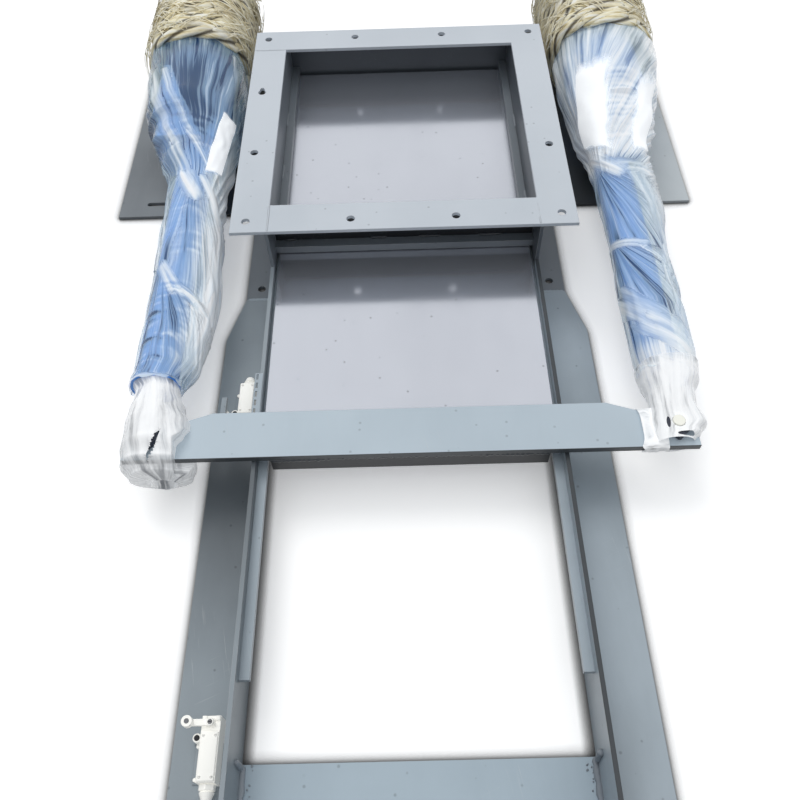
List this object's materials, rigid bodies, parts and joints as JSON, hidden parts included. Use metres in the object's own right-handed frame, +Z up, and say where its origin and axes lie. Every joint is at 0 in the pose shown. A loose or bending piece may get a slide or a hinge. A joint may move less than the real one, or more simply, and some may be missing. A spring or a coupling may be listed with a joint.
{
  "type": "sluice gate",
  "caption": "Flanged flat-plate slide gate for a square duct, its blade on two long rails, drawn open by a crossbar and twin push-rod actuators.",
  "frame": {"origin": "centre of the square opening, on the underside of the lower flange", "axes": "+X to the right and +Y towards the closed end, seen from the end the blade is drawn out to; +Z up, along the duct"},
  "size_m": [1.124, 1.73, 0.207],
  "materials": {
    "grey_paint": "gloss",
    "blade_paint": "gloss",
    "blue_paint": "gloss",
    "bright_steel": "satin",
    "switch_case": "satin",
    "straw_rope": "matte"
  },
  "bodies": {
    "frame": {"closed_switch": "switch_case", "cradle_left": "grey_paint", "cradle_right": "grey_paint", "end_member": "grey_paint", "fan_cover_left": "blue_paint", "fan_cover_right": "blue_paint", "far_wall": "grey_paint", "gussets_left": "grey_paint", "gussets_right": "grey_paint", "ledge_left": "grey_paint", "ledge_right": "grey_paint", "lower_flange": "grey_paint", "manifold_left": "blue_paint", "manifold_right": "blue_paint", "motor_left": "blue_paint", "motor_right": "blue_paint", "near_sill": "grey_paint", "near_wall": "grey_paint", "open_switch": "switch_case", "rail_left": "grey_paint", "rail_right": "grey_paint", "seal_bars": "grey_paint", "side_wall_left": "grey_paint", "side_wall_right": "grey_paint", "straw_left": "straw_rope", "straw_right": "straw_rope", "tank_left": "blue_paint", "tank_right": "blue_paint", "tray_left": "grey_paint", "tray_right": "grey_paint", "trunnion_pin_left": "bright_steel", "trunnion_pin_right": "bright_steel", "tube_left": "blue_paint", "tube_right": "blue_paint", "upper_flange": "grey_paint"},
    "gate": {"blade": "blade_paint", "crossbar": "grey_paint", "tail_plate": "grey_paint", "trip_dog": "grey_paint", "rod_left": "bright_steel", "rod_right": "bright_steel", "fork_left": "grey_paint", "fork_right": "grey_paint", "pin_left": "bright_steel", "pin_right": "bright_steel"}
  },
  "joints": [
    {"name": "gate_slide", "type": "slide", "parent": "frame", "child": "gate", "axis": [0, -1, 0], "range_m": [0, 0.475]}
  ]
}
